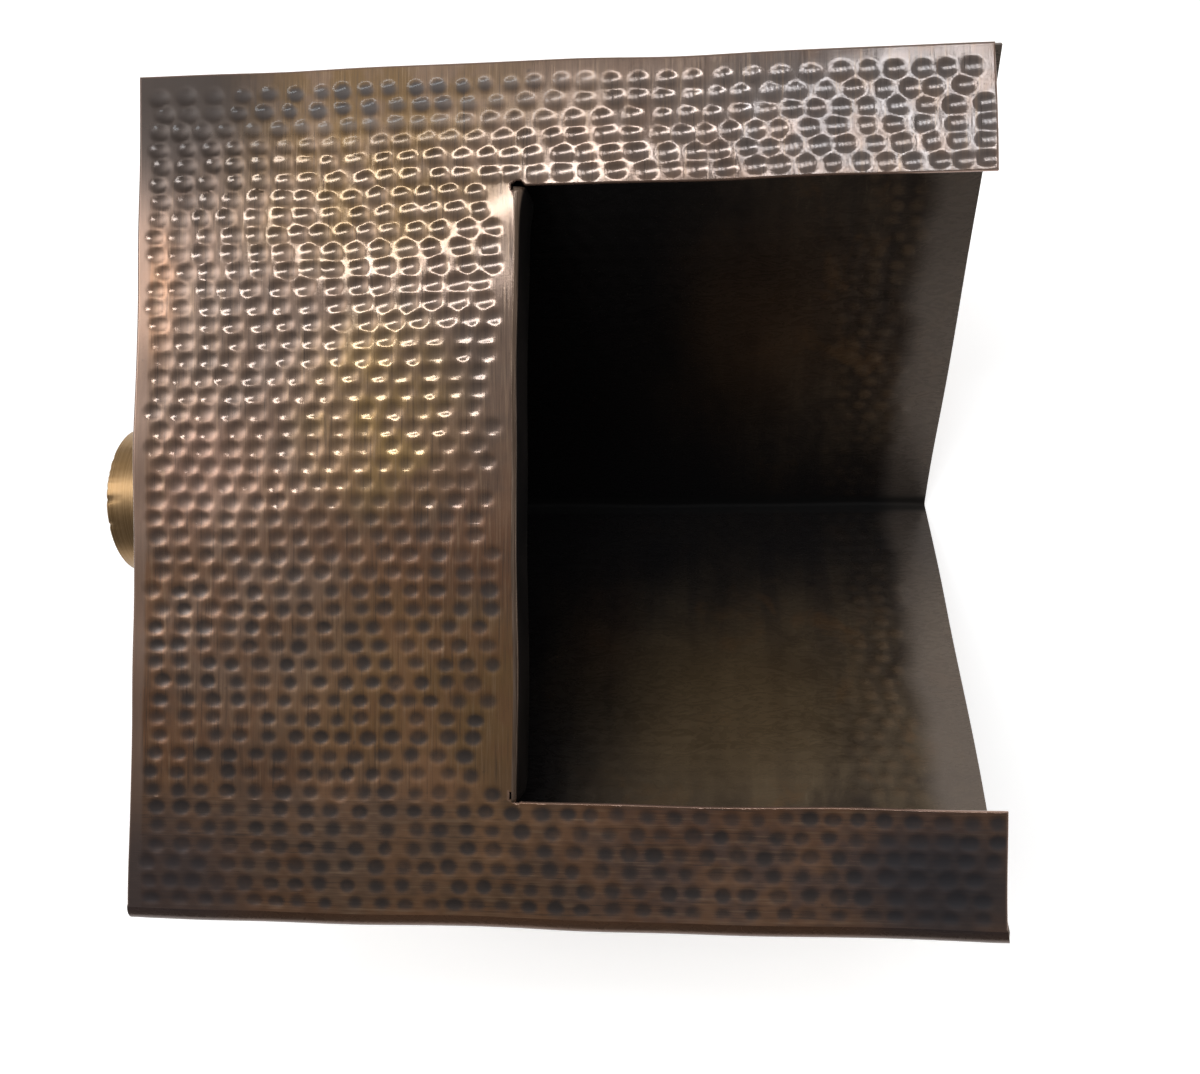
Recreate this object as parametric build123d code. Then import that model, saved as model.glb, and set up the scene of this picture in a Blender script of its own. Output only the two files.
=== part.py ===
from build123d import *
import math
import os
import random

# Copper roof scupper: one folded sheet makes the hammered top and the V trough, a wall closes the back,
# and a threaded brass coupling in that wall brings the water in.
# Sizes are in millimetres. The origin is on the inlet's axis at the outer face of the back wall.
# +Y points out of the inlet, the trough spills towards -Y, +Z is up and X runs across.

# Folded sheet
TOP_WIDTH = 304.8  # across the top, over both long edges
TOP_LENGTH = 304.8  # back edge to the front ends of the two bands
TROUGH_DEPTH = 152.4  # top face to the outside of the valley
TROUGH_LEAD = 2.4  # how far the trough's front edge stands ahead of the bands
SHEET = 1.5  # thickness of the copper
FOLD_RADIUS = 3.5  # inside radius where the top folds over into the trough
VALLEY_RADIUS = 1.5  # inside radius along the valley

# Cut-out in the top, open to the front, with a lip turned down at its back edge
CUTOUT_WIDTH = 215.9
CUTOUT_LENGTH = 165.1  # front ends of the bands to the face of the lip
LIP_DEPTH = 25.4  # top face to the lip's lower edge
LIP_RADIUS = 1.5  # inside radius of the lip's bend
LIP_END_GAP = 0.6  # between each end of the lip and the band beside it
LIP_CORNER_RADIUS = 6.0  # rounding of the lip's two lower corners
RELIEF_RADIUS = 2.5  # round notch that frees each end of the lip's bend
SEAM_RELIEF_OVERCUT = 1.7  # how far the notch bites into the band on the seam side
FOLD_RELIEF_OVERCUT = 0.3  # the same on the folded side

# Hammer dents in the top, struck row by row along the trough
DENT_RADIUS = 2.8
DENT_DEPTH = 0.6
DENT_SIDES = 4
DENT_PITCH = 8.6  # along a row
DENT_STRAY = 1.6  # most that a blow falls short or long of the pitch
ROW_PITCH = 6.5  # from row to row
ROW_STRAY = 0.35  # most that a blow falls beside its row
SIDE_MARGIN = 7.0  # plain metal along the two long edges
BACK_MARGIN = 4.0  # plain metal along the back edge
LIP_MARGIN = 5.5  # plain metal along the lip
BAND_MARGIN = 2.0  # plain metal round the bands' inner edges and front ends
HAMMER_SEED = 11

# Back wall
WALL = 1.5
BRAZE_GAP = 0.1  # capillary gap of the brazed joints

# Inlet coupling
COUPLING_DIAMETER = 58.0
COUPLING_REACH = 26.0  # outer face of the back wall to the mouth
COUPLING_TUCK = 4.0  # stands this far inside the back wall
COUPLING_DROP = 57.4  # top face of the scupper to the inlet's axis
THREAD_BORE = 44.0  # crest diameter of the pipe thread
MOUTH_CHAMFER = 1.6
RIM_CHAMFER = 0.6

# Places that several pieces share
TOP_Z = COUPLING_DROP
BANDS_Y = -TOP_LENGTH
LIP_Y = BANDS_Y + CUTOUT_LENGTH
SLOPE = math.atan2(TROUGH_DEPTH, TOP_WIDTH / 2)
SEAM_SIDE = 1
FOLD_SIDE = -1


def triangle():
    """Sharp-cornered outline of the folded sheet, seen along the trough, with the top face at zero."""
    fold_outer = FOLD_RADIUS + SHEET
    valley_outer = VALLEY_RADIUS + SHEET
    apex = TROUGH_DEPTH + valley_outer * (1 / math.cos(SLOPE) - 1)
    # The folded side leaves the fold along its tangent, and the fold's outermost point is the top's edge.
    centre_x = TOP_WIDTH / 2 - fold_outer
    centre_z = apex - fold_outer
    fold_slope = math.atan2(centre_z, centre_x) - math.asin(fold_outer / math.hypot(centre_x, centre_z))
    fold_corner = -apex / math.tan(fold_slope)
    seam_corner = TOP_WIDTH / 2 + SHEET / math.tan(SLOPE)
    return make_face(Polyline((fold_corner, 0), (0, -apex), (seam_corner, 0), close=True))


def bend_corners(outline, fold_radius, valley_radius):
    """Round the folded corner and the valley of a triangle, and leave the seam's corner sharp."""
    outline = fillet(outline.vertices().sort_by(Axis.X)[0], fold_radius)
    return fillet(outline.vertices().sort_by(Axis.Y)[0], valley_radius)


def hollow_section(gap=0.0):
    """Inside of the folded sheet, drawn in by a gap."""
    inside = offset(triangle(), -SHEET - gap, kind=Kind.INTERSECTION)
    return bend_corners(inside, FOLD_RADIUS - gap, VALLEY_RADIUS - gap)


def along_trough(section, y, length):
    """Stand a section up at a distance along the trough and run it towards the front."""
    return extrude(Pos(0, y, TOP_Z) * (Plane.XZ * section), length)


def lip():
    """Strip turned down from the back edge of the cut-out, with its bend and its rounded lower corners."""
    bend_outer = LIP_RADIUS + SHEET
    width = CUTOUT_WIDTH - 2 * LIP_END_GAP
    bend = Circle(bend_outer) - Circle(LIP_RADIUS)
    bend &= Rectangle(bend_outer, bend_outer, align=(Align.MAX, Align.MIN))
    strip_depth = LIP_DEPTH - bend_outer
    strip = Rectangle(SHEET, strip_depth, align=(Align.MIN, Align.MAX))
    profile = bend + Pos(-bend_outer, 0) * strip
    start = Pos(-width / 2, LIP_Y + bend_outer, TOP_Z - bend_outer)
    turned = extrude(start * (Plane.YZ * profile), width)
    lower_ends = turned.edges().filter_by(Axis.Y).group_by(Axis.Z)[0]
    return fillet(lower_ends, LIP_CORNER_RADIUS)


def dent_places():
    """Centres of the hammer blows, as pairs of X and Y."""
    blows = random.Random(HAMMER_SEED)
    rows = int((TOP_WIDTH - 2 * (SIDE_MARGIN + DENT_RADIUS)) / ROW_PITCH) + 1
    places = []
    for row in range(rows):
        row_x = (row - (rows - 1) / 2) * ROW_PITCH
        beside_cutout = abs(row_x) - DENT_RADIUS - ROW_STRAY > CUTOUT_WIDTH / 2 + BAND_MARGIN
        front_y = BANDS_Y + BAND_MARGIN if beside_cutout else LIP_Y + LIP_MARGIN
        y = -BACK_MARGIN - DENT_RADIUS - blows.uniform(0, DENT_PITCH / 2)
        while y > front_y + DENT_RADIUS:
            places.append((row_x + blows.uniform(-ROW_STRAY, ROW_STRAY), y))
            y -= DENT_PITCH + blows.uniform(-DENT_STRAY, DENT_STRAY)
    return places


def dents():
    """Shallow faceted dishes that the blows leave, points down, each turned at random."""
    rim = RegularPolygon(DENT_RADIUS, DENT_SIDES).face()
    point = (0, 0, -DENT_DEPTH)
    flanks = [make_face(Polyline(edge @ 0, edge @ 1, point, close=True)).face() for edge in rim.edges()]
    dish = Solid(Shell([rim, *flanks]))
    turns = random.Random(HAMMER_SEED)
    step = 360 / DENT_SIDES
    return [dish.moved(Location((x, y, TOP_Z), (0, 0, turns.uniform(0, step)))) for x, y in dent_places()]


def sheet_body():
    """Top, fold, V trough and lip, made from one sheet and closed along one long edge."""
    bend_outer = LIP_RADIUS + SHEET
    outside = bend_corners(triangle(), FOLD_RADIUS + SHEET, VALLEY_RADIUS + SHEET)
    seam_tip = Rectangle(TOP_WIDTH, SHEET, align=(Align.MIN, Align.MAX))
    section = outside - hollow_section() - Pos(TOP_WIDTH / 2, 0) * seam_tip
    body = along_trough(section, 0, TOP_LENGTH + TROUGH_LEAD)

    lead_cut = Rectangle(2 * TOP_WIDTH, SHEET, align=(Align.CENTER, Align.MAX))
    body -= along_trough(lead_cut, BANDS_Y, TROUGH_LEAD)

    cutout = Rectangle(CUTOUT_WIDTH, SHEET, align=(Align.CENTER, Align.MAX))
    body -= along_trough(cutout, LIP_Y + bend_outer, CUTOUT_LENGTH + bend_outer)
    body += lip()

    notch = Cylinder(RELIEF_RADIUS, bend_outer, align=(Align.CENTER, Align.CENTER, Align.MAX))
    for side, overcut in ((SEAM_SIDE, SEAM_RELIEF_OVERCUT), (FOLD_SIDE, FOLD_RELIEF_OVERCUT)):
        notch_x = side * (CUTOUT_WIDTH / 2 + overcut - RELIEF_RADIUS)
        body -= Pos(notch_x, LIP_Y, TOP_Z) * notch

    return body.cut(*dents())


def back_wall():
    """Triangular plate set inside the back end of the folded sheet, with the inlet's hole."""
    plate = along_trough(hollow_section(BRAZE_GAP), 0, WALL)
    hole = Pos(0, -COUPLING_DROP) * Circle(COUPLING_DIAMETER / 2 + BRAZE_GAP)
    return plate - along_trough(hole, 0, WALL)


def inlet_coupling():
    """Turned half coupling, bored to the crest of its pipe thread and chamfered at the mouth."""
    length = COUPLING_REACH + WALL + COUPLING_TUCK
    thickness = (COUPLING_DIAMETER - THREAD_BORE) / 2
    ring = Pos(THREAD_BORE / 2, COUPLING_REACH) * Rectangle(thickness, length, align=(Align.MIN, Align.MAX))
    ring = chamfer(ring.vertices().group_by(Axis.Y)[-1].sort_by(Axis.X)[0], MOUTH_CHAMFER)
    ring = chamfer(ring.vertices().sort_by(Axis.X)[-2:], RIM_CHAMFER)
    return revolve(ring, Axis.Y)


os.makedirs("parts", exist_ok=True)
export_step(sheet_body(), "parts/sheet_body.step")
export_step(back_wall(), "parts/back_wall.step")
export_step(inlet_coupling(), "parts/inlet_coupling.step")
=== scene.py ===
import math
import random

import bpy
import numpy as np
from mathutils import Matrix, Vector


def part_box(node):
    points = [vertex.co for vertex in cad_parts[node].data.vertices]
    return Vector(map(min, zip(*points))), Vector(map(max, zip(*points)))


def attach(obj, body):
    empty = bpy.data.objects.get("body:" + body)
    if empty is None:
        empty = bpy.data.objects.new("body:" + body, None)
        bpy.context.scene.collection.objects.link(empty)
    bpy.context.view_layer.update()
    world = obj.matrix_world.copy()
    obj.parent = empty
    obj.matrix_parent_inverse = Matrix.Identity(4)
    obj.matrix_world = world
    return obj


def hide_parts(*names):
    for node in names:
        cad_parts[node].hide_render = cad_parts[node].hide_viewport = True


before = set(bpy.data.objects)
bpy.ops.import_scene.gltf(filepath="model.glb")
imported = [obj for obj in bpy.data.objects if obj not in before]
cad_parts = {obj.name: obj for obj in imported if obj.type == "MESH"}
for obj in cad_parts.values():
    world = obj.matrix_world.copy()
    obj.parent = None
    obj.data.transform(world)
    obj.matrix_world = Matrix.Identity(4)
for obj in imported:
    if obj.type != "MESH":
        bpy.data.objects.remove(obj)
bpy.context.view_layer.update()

# Sizes are in metres, in the frame of the CAD model.
MM = 0.001

# Folded sheet
SHEET = 1.5 * MM
FOLD_RADIUS = 3.5 * MM
VALLEY_RADIUS = 1.5 * MM
TROUGH_LEAD = 2.4 * MM
CUTOUT_WIDTH = 215.9 * MM
CUTOUT_LENGTH = 165.1 * MM
LIP_DEPTH = 25.4 * MM
LIP_RADIUS = 0.3 * MM  # tighter than the solid's, as the photograph shows it
LIP_END_GAP = 0.6 * MM
LIP_CORNER_RADIUS = 6.0 * MM
LIP_FLARE = 2.6 * MM  # how far the lip stands off at its seam end
LIP_FLARE_REACH = 5.5 * MM
RELIEF_RADIUS = 2.5 * MM
SEAM_RELIEF_OVERCUT = 1.7 * MM
FOLD_RELIEF_OVERCUT = 0.3 * MM

# Hammer dents, in rows like the solid's but spaced closer to the photograph, so at places of their own
DENT_RADIUS = 2.8 * MM
DENT_PITCH = 9.2 * MM
DENT_STRAY = 1.6 * MM
ROW_PITCH = 6.4 * MM
ROW_STRAY = 0.35 * MM
SIDE_MARGIN = 5.0 * MM
BACK_MARGIN = 4.0 * MM
LIP_MARGIN = 5.5 * MM
BAND_MARGIN = 0.5 * MM
HAMMER_SEED = 11
DISH_RADIUS = 3.6 * MM  # a dent as drawn, wider, shallower and softer than the solid's facets
DISH_DEPTH = 0.36 * MM
DISH_SHOULDER = 0.12  # softness of the rim
DISH_REACH = 1.35  # how many radii the dent draws the metal down
TROUGH_FRONT_MARGIN = 17.0 * MM
TROUGH_SEED = 23
INNER_BUMP = 0.8  # height of a bump inside the trough, as a share of the dent behind it
INNER_BUMP_FADE = 0.25  # what is left of it behind the spout

# Mesh steps
TOP_STEP = 0.86 * MM
NOTCH_STEP = 0.42 * MM
EDGE_ROUND = 0.35 * MM
TROUGH_STEP = 1.75 * MM
BEND_STEPS = 12
VALLEY_STEPS = 8

# Inlet coupling
COUPLING_RADIUS = 29.0 * MM
COUPLING_RIM = 0.6 * MM
MOUTH_CHAMFER = 1.6 * MM
THREAD_CREST = 22.0 * MM
THREAD_PITCH = 25.4 / 11.5 * MM
THREAD_DEPTH = 1.5 * MM
THREAD_TAPER = 1 / 32
COUPLING_TURNS = 160
THREAD_STEPS = 8
NICK_COUNT = 16
BRAZE_SIZE = 2.6 * MM

body_low, body_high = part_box("sheet_body")
coupling_low, coupling_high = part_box("inlet_coupling")
TOP_Z = body_high.z
HALF_WIDTH = body_high.x
BACK_Y = body_high.y
FRONT_Y = body_low.y
BANDS_Y = FRONT_Y + TROUGH_LEAD
LIP_Y = BANDS_Y + CUTOUT_LENGTH
TROUGH_DEPTH = TOP_Z - body_low.z
FOLD_OUTER = FOLD_RADIUS + SHEET
VALLEY_OUTER = VALLEY_RADIUS + SHEET
LIP_OUTER = LIP_RADIUS + SHEET
FOLD_X = -HALF_WIDTH + FOLD_OUTER


def colour(r, g, b):
    return (r, g, b, 1.0)


# Patches of colour inside the trough and on the top: middle, reach, colour and strength
TROUGH_TINTS = (
    ((0.075, -0.215, -0.02), (0.070, 0.060, 0.08), colour(0.085, 0.046, 0.024), 0.7),
    ((-0.085, -0.205, -0.01), (0.060, 0.085, 0.07), colour(0.135, 0.090, 0.045), 0.65),
    ((-0.050, -0.160, -0.05), (0.060, 0.025, 0.06), colour(0.060, 0.030, 0.016), 0.6),
)
COPPER_TINTS = (
    ((0.004, -0.024, TOP_Z), (0.034, 0.030, 0.02), colour(0.27, 0.155, 0.115), 0.6),
    ((0.072, -0.006, TOP_Z), (0.040, 0.014, 0.02), colour(0.28, 0.135, 0.065), 0.6),
    ((0.028, -0.090, TOP_Z), (0.050, 0.040, 0.02), colour(0.30, 0.18, 0.05), 0.6),
    ((0.108, -0.085, TOP_Z), (0.045, 0.070, 0.02), colour(0.115, 0.062, 0.016), 0.85),
    ((-0.065, -0.085, TOP_Z), (0.050, 0.065, 0.02), colour(0.20, 0.105, 0.035), 0.6),
    ((-0.075, -0.130, TOP_Z), (0.050, 0.030, 0.02), colour(0.17, 0.095, 0.032), 0.6),
    ((0.130, -0.265, TOP_Z), (0.045, 0.100, 0.02), colour(0.11, 0.10, 0.10), 0.7),
    ((-0.130, -0.120, TOP_Z), (0.030, 0.110, 0.02), colour(0.12, 0.068, 0.035), 0.5),
    ((0.142, -0.060, TOP_Z), (0.036, 0.130, 0.02), colour(0.108, 0.057, 0.015), 0.9),
    ((-0.040, -0.045, TOP_Z), (0.070, 0.055, 0.02), colour(0.205, 0.130, 0.092), 0.7),
    ((-0.120, -0.060, TOP_Z), (0.035, 0.080, 0.02), colour(0.14, 0.088, 0.062), 0.6),
    ((-0.132, -0.220, TOP_Z), (0.036, 0.100, 0.02), colour(0.086, 0.056, 0.050), 0.75),
)
DARK_CORNERS = (
    ((0.142, -0.012, TOP_Z), (0.060, 0.060, 0.03), colour(0.020, 0.012, 0.009), 0.95),
    ((-0.140, -0.010, TOP_Z), (0.040, 0.050, 0.03), colour(0.046, 0.037, 0.040), 0.75),
    ((-0.132, -0.285, TOP_Z), (0.035, 0.050, 0.03), colour(0.032, 0.031, 0.037), 0.85),
)
# Patch of the seam side where the patina was never buffed: middle and reach
DULL_PATCH = ((0.147, -0.065, TOP_Z), (0.030, 0.140, 0.03))

# Studio: the floor, the room's light and the bank of lamps that the top mirrors
FLOOR_REACH = 20.0
FLOOR_GAP = 2.0 * MM
FLOOR_LIFT = 0.5
ROOM_LIGHT = 0.21
ROOM_RISE = 0.50
# Glowing patches of the ceiling: where they lie as slopes along X and Y, their spread and their strength
CEILING = (
    ((0.42, 0.10), (0.30, 0.90), 0.35),
    ((0.30, 0.82), (0.22, 0.32), 7.0),
)
TUBE_START = (0.335, 0.300, 1.057)
TUBE_END = (0.440, -0.150, 1.057)
TUBE_WIDTH = 0.05
BAR_COUNT = 4
BAR_PITCH = 0.11
BAR_WIDTH = 0.03
BAR_LENGTH = 0.14
LAMP_GLOW = 24.0
LAMP_COLOUR = (0.86, 0.94, 1.0)

# Camera fitted to the photograph's corners
CAMERA_AT = (-0.01941, -0.20571, 0.45436)
CAMERA_RIGHT = (-0.00178, -0.99563, -0.09332)
CAMERA_DOWN = (-0.99927, 0.00532, -0.03772)
CAMERA_LENS = 34.52
CAMERA_SHIFT = (0.0007, -0.0289)


def wobble(points):
    """Hand-made unevenness of the sheet: slow waves of well under a millimetre, the same for every piece."""
    x, y, z = (points[..., k] / MM for k in range(3))
    dx = 0.25 * np.sin(0.043 * y + 0.6) + 0.14 * np.sin(0.091 * y - 0.03 * x + 2.0)
    dy = 0.34 * np.sin(0.037 * x + 1.1) + 0.20 * np.sin(0.083 * x + 0.02 * y + 0.3)
    dz = 0.34 * np.sin(0.052 * x + 0.021 * y + 0.4) * np.sin(0.047 * y - 0.013 * x + 1.2)
    dz += 0.16 * np.sin(0.11 * x - 0.04 * y) * np.sin(0.095 * y + 0.05 * x + 0.7)
    return points + np.stack([dx, dy, dz], -1) * MM


def spaced(breaks, step, short_step=None):
    """Evenly spaced values between each pair of breaks, with every break kept, closer in the short spans."""
    values = []
    for a, b in zip(breaks[:-1], breaks[1:]):
        is_short = short_step and abs(b - a) < 8 * MM
        count = max(1, round(abs(b - a) / (short_step if is_short else step)))
        values.extend(np.linspace(a, b, count, endpoint=False))
    return np.array([*values, breaks[-1]])


def top_dents():
    """Centres of the blows on the top, row by row along the trough."""
    blows = random.Random(HAMMER_SEED)
    rows = int((2 * HALF_WIDTH - 2 * (SIDE_MARGIN + DENT_RADIUS)) / ROW_PITCH) + 1
    places = []
    for row in range(rows):
        row_x = (row - (rows - 1) / 2) * ROW_PITCH
        beside_cutout = abs(row_x) - DENT_RADIUS - ROW_STRAY > CUTOUT_WIDTH / 2 + BAND_MARGIN
        front = BANDS_Y + BAND_MARGIN if beside_cutout else LIP_Y + LIP_MARGIN
        y = -BACK_MARGIN - DENT_RADIUS - blows.uniform(0, DENT_PITCH / 2)
        while y > front + DENT_RADIUS:
            places.append((row_x + blows.uniform(-ROW_STRAY, ROW_STRAY), y))
            y -= DENT_PITCH + blows.uniform(-DENT_STRAY, DENT_STRAY)
    return places


def strike(across, along, places, seed):
    """Depth of every grid point under its blow, as a share of the full depth, and the snapped grid."""
    shape = random.Random(seed)
    depth = np.zeros((len(across), len(along)))
    grid_a, grid_l = np.meshgrid(across, along, indexing="ij")
    moved = np.zeros(depth.shape, bool)
    step = abs(along[1] - along[0])
    low, high = along.min(), along.max()
    for a0, l0 in places:
        radius = DISH_RADIUS * shape.uniform(0.90, 1.08)
        strength = shape.uniform(0.75, 1.12)
        stretch = shape.uniform(1.02, 1.16)
        reach = DISH_REACH * radius * 1.1
        rows = slice(np.searchsorted(across, a0 - reach), np.searchsorted(across, a0 + reach))
        order = along if along[0] < along[-1] else along[::-1]
        i, j = np.searchsorted(order, l0 - reach), np.searchsorted(order, l0 + reach)
        cols = slice(i, j) if along[0] < along[-1] else slice(len(along) - j, len(along) - i)
        da = (grid_a[rows, cols] - a0) * stretch
        dl = (grid_l[rows, cols] - l0) / stretch
        t = np.hypot(da, dl) / radius
        near_rim = (np.abs(t - 1) * radius < 0.4 * step) & ~moved[rows, cols]
        inside = (grid_l[rows, cols] > low + step) & (grid_l[rows, cols] < high - step)
        snap = near_rim & inside & (t > 0)
        scale = np.where(snap, 1 / np.maximum(t, 0.1), 1.0)
        grid_a[rows, cols] = a0 + da * scale / stretch
        grid_l[rows, cols] = l0 + dl * scale * stretch
        moved[rows, cols] |= snap
        t = np.where(snap, 1.0, t)
        g = 1 - t * t
        dish = strength * 0.5 * (g + np.sqrt(g * g + DISH_SHOULDER ** 2))
        dish -= strength * 0.5 * (1 - DISH_REACH ** 2 + math.hypot(1 - DISH_REACH ** 2, DISH_SHOULDER))
        depth[rows, cols] = np.maximum(depth[rows, cols], dish)
    return grid_a, grid_l, depth


def new_mesh(name, points, faces, **marks):
    """Object with smooth faces and, where given, marks such as the dent depth as point attributes."""
    mesh = bpy.data.meshes.new(name)
    mesh.from_pydata(points.tolist(), [], faces)
    mesh.validate()
    mesh.shade_smooth()
    for mark, values in marks.items():
        layer = mesh.attributes.new(mark, "FLOAT", "POINT")
        layer.data.foreach_set("value", np.asarray(values, np.float32))
    piece = bpy.data.objects.new(name, mesh)
    bpy.context.scene.collection.objects.link(piece)
    return piece


def boundary_loop(faces):
    """Vertices of the one open edge of a patch of faces, in order."""
    ahead = {}
    edges = set()
    for face in faces:
        for a, b in zip(face, face[1:] + face[:1]):
            edges.add((a, b))
    for a, b in edges:
        if (b, a) not in edges:
            ahead[a] = b
    start = min(ahead)
    loop = [start]
    while ahead[loop[-1]] != start:
        loop.append(ahead[loop[-1]])
    return loop


def top_surface():
    """Points, dent depths and faces of the top's upper side, without the cut-out and the notches."""
    half_cut = CUTOUT_WIDTH / 2
    near = 3.5 * MM
    breaks = [FOLD_X, -half_cut - near, -half_cut, half_cut, half_cut + near, HALF_WIDTH]
    xs = spaced(breaks, TOP_STEP, NOTCH_STEP)
    ys = spaced([BANDS_Y, LIP_Y - near, LIP_Y + LIP_OUTER, BACK_Y], TOP_STEP, NOTCH_STEP)
    grid_x, grid_y, depth = strike(xs, ys, top_dents(), HAMMER_SEED)
    depth *= np.clip((xs - FOLD_X) / (3 * MM), 0, 1)[:, None]
    grid_x[0] = FOLD_X
    mid_x = (xs[:-1] + xs[1:]) / 2
    mid_y = (ys[:-1] + ys[1:]) / 2
    cell_x, cell_y = np.meshgrid(mid_x, mid_y, indexing="ij")
    kept = ~((np.abs(cell_x) < half_cut) & (cell_y < LIP_Y + LIP_OUTER))
    for side, overcut in ((1, SEAM_RELIEF_OVERCUT), (-1, FOLD_RELIEF_OVERCUT)):
        kept &= bite_notch(side * (half_cut + overcut - RELIEF_RADIUS), grid_x, grid_y, cell_x, cell_y)
    number = np.arange(depth.size).reshape(depth.shape)
    corners = [number[:-1, :-1], number[1:, :-1], number[1:, 1:], number[:-1, 1:]]
    quads = np.stack([c[kept] for c in corners], -1)
    used, quads = np.unique(quads, return_inverse=True)
    quads = quads.reshape(-1, 4).tolist()
    points = np.stack([grid_x, grid_y, TOP_Z - DISH_DEPTH * depth], -1).reshape(-1, 3)[used]
    return points, depth.reshape(-1)[used], quads


def hammered_top():
    """Flat top with its dents, cut-out and thickness."""
    points, dents, quads = top_surface()
    loop = boundary_loop(quads)
    edge = points[loop].copy()
    run = np.roll(edge, -1, axis=0) - np.roll(edge, 1, axis=0)
    out = np.stack([run[:, 1], -run[:, 0]], -1)
    out /= np.linalg.norm(out, axis=1)[:, None]
    on_fold = edge[:, 0] < FOLD_X + 0.01 * MM
    on_lip = np.abs(edge[:, 1] - LIP_Y - LIP_OUTER) < 0.01 * MM
    on_lip &= edge[:, 0] < CUTOUT_WIDTH / 2 - LIP_END_GAP
    free = ~(on_fold | on_lip)[:, None]
    points[loop, :2] -= out * EDGE_ROUND * free
    edge[:, 2] -= EDGE_ROUND * free[:, 0]
    under = edge.copy()
    under[:, 2] = TOP_Z - SHEET
    count = len(loop)
    rings = [loop, list(range(len(points), len(points) + count))]
    rings.append([k + count for k in rings[1]])
    walls = []
    for upper, lower in zip(rings[:-1], rings[1:]):
        for k in range(count):
            n = (k + 1) % count
            walls.append([upper[n], upper[k], lower[k], lower[n]])
    # Marks the cut edges: bare metal there, lightened further as a painted highlight along the edge.
    bare = np.zeros(len(points))
    bare[loop] = 0.5 * free[:, 0]
    bare = np.concatenate([bare, free[:, 0], free[:, 0]])
    points = np.concatenate([points, edge, under])
    dents = np.concatenate([dents, np.zeros(2 * count)])
    faces = quads + walls + [rings[2][::-1]]
    piece = new_mesh("hammered_top", wobble(points), faces, dent=dents, bare=bare)
    sharpen(piece, 60)
    return piece


def bite_notch(centre_x, grid_x, grid_y, cell_x, cell_y):
    """Cells that a round relief notch leaves, with the grid drawn onto the notch's edge."""
    dx, dy = grid_x - centre_x, grid_y - LIP_Y
    far = np.hypot(dx, dy)
    near = np.abs(far - RELIEF_RADIUS) < 0.5 * NOTCH_STEP
    scale = np.where(near, RELIEF_RADIUS / np.maximum(far, NOTCH_STEP), 1.0)
    grid_x[...] = centre_x + dx * scale
    grid_y[...] = LIP_Y + dy * scale
    return np.hypot(cell_x - centre_x, cell_y - LIP_Y) > RELIEF_RADIUS


def lip_strip():
    """Bend at the back of the cut-out and the strip below it, with rounded lower corners."""
    half = CUTOUT_WIDTH / 2 - LIP_END_GAP
    xs = spaced([-CUTOUT_WIDTH / 2 - 0.2 * MM, half], 2 * TOP_STEP)
    turn = np.linspace(0, math.pi / 2, BEND_STEPS + 1)
    drop = np.linspace(0, LIP_DEPTH - LIP_OUTER, BEND_STEPS + 1)[1:]
    profile = [(LIP_Y + LIP_OUTER - LIP_OUTER * math.sin(a), TOP_Z - LIP_OUTER + LIP_OUTER * math.cos(a),
                -math.sin(a), math.cos(a)) for a in turn]
    profile += [(LIP_Y, TOP_Z - LIP_OUTER - d, -1.0, 0.0) for d in drop]
    rows = np.array(profile)
    points = []
    for x in xs:
        short = min(LIP_CORNER_RADIUS, max(0.0, abs(x) - (half - LIP_CORNER_RADIUS)))
        lift = LIP_CORNER_RADIUS - math.sqrt(max(0.0, LIP_CORNER_RADIUS ** 2 - short ** 2))
        flare = LIP_FLARE * math.exp(-(half - x) / LIP_FLARE_REACH)
        low = TOP_Z - LIP_DEPTH + lift
        for k, (y, z) in enumerate(rows[:, :2]):
            points.append((x, y - flare * min(1.0, k / BEND_STEPS), max(z, low)))
    outer = np.array(points).reshape(len(xs), len(rows), 3)
    inner = outer.copy()
    inner[..., 1] -= rows[None, :, 2] * SHEET
    inner[..., 2] -= rows[None, :, 3] * SHEET
    return closed_sheet("spill_lip", wobble(outer), wobble(inner))


def closed_sheet(name, outer, inner, outer_dents=None, inner_dents=None):
    """Close an outer and an inner grid of the same sheet along their four edges."""
    rows, columns = outer.shape[:2]
    top = np.arange(rows * columns).reshape(rows, columns)
    low = top + rows * columns
    faces = np.stack([top[:-1, :-1], top[1:, :-1], top[1:, 1:], top[:-1, 1:]], -1).reshape(-1, 4).tolist()
    faces += np.stack([low[:-1, :-1], low[:-1, 1:], low[1:, 1:], low[1:, :-1]], -1).reshape(-1, 4).tolist()
    rims = ((top[::-1, 0], low[::-1, 0]), (top[:, -1], low[:, -1]),
            (top[0], low[0]), (top[-1, ::-1], low[-1, ::-1]))
    for upper, lower in rims:
        faces += np.stack([upper[:-1], upper[1:], lower[1:], lower[:-1]], -1).tolist()
    points = np.concatenate([outer.reshape(-1, 3), inner.reshape(-1, 3)])
    if outer_dents is None:
        outer_dents = inner_dents = np.zeros((rows, columns))
    dents = np.concatenate([outer_dents.reshape(-1), inner_dents.reshape(-1)])
    return new_mesh(name, points, faces, dent=dents)


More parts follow.
